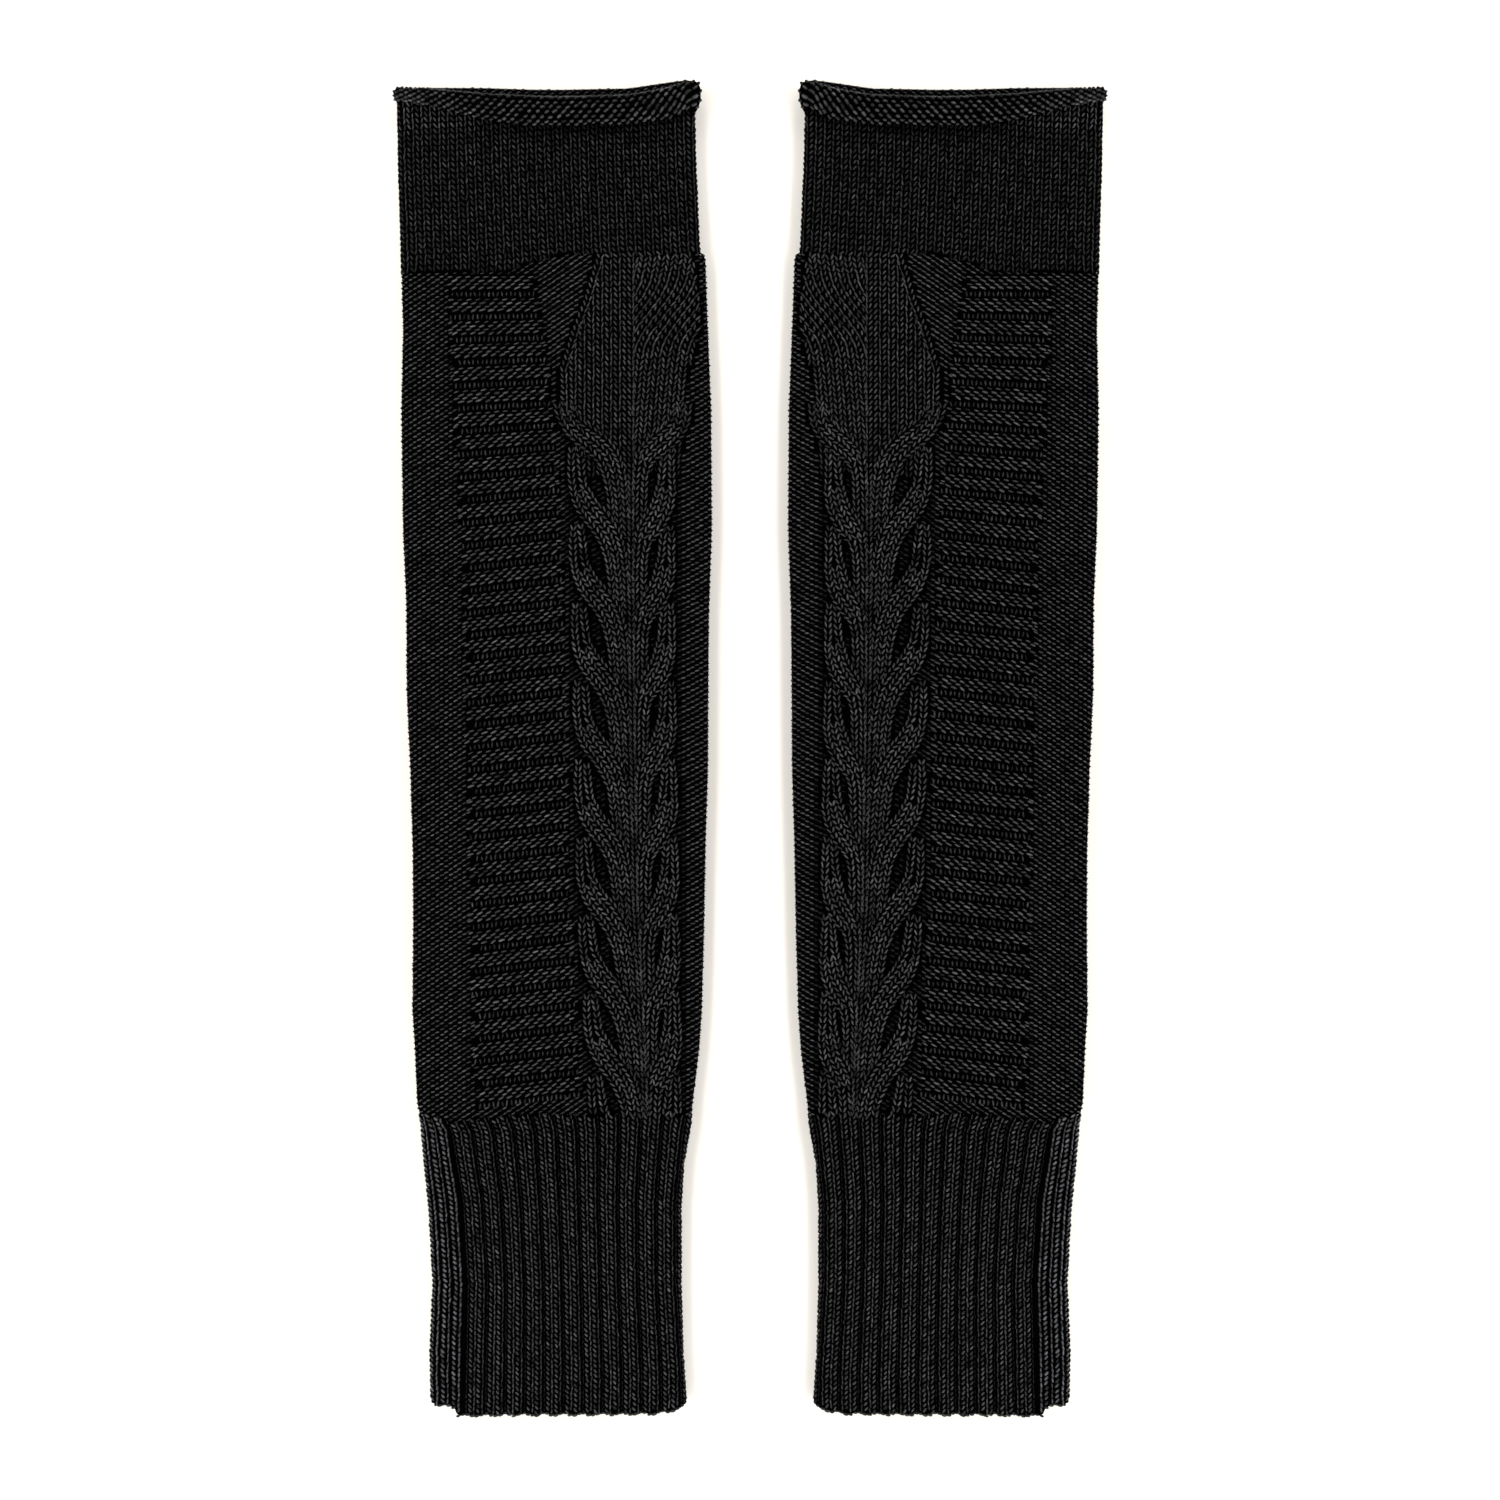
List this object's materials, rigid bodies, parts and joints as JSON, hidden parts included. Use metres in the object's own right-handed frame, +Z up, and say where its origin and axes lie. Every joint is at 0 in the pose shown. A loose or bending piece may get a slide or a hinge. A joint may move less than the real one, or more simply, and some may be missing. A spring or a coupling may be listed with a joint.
{
  "type": "pair of fingerless arm warmers",
  "caption": "Pair of long knitted fingerless arm warmers laid flat, each a tube with a rolled edge, a plain hand band, welts and a cable down its front, and a ribbed cuff.",
  "frame": {"origin": "on the surface that the pair lies on, under the middle of the pair's bounding box", "axes": "+Y along the arm from the ribbed cuffs to the hand openings, +X across the pair, +Z up out of the surface"},
  "size_m": [0.199, 0.3733, 0.008],
  "materials": {
    "rolled_edge_knit": "matt two-ply charcoal wool, reverse side outward on the roll",
    "band_knit": "matt two-ply charcoal wool, plain stockinette",
    "body_knit": "matt two-ply charcoal wool, cable and welts on reverse stockinette",
    "cuff_knit": "matt two-ply charcoal wool, two by two rib"
  },
  "bodies": {
    "root": {"left_rolled_edge": "rolled_edge_knit", "left_hand_band": "band_knit", "left_body": "body_knit", "left_cuff": "cuff_knit", "right_rolled_edge": "rolled_edge_knit", "right_hand_band": "band_knit", "right_body": "body_knit", "right_cuff": "cuff_knit"}
  },
  "joints": []
}
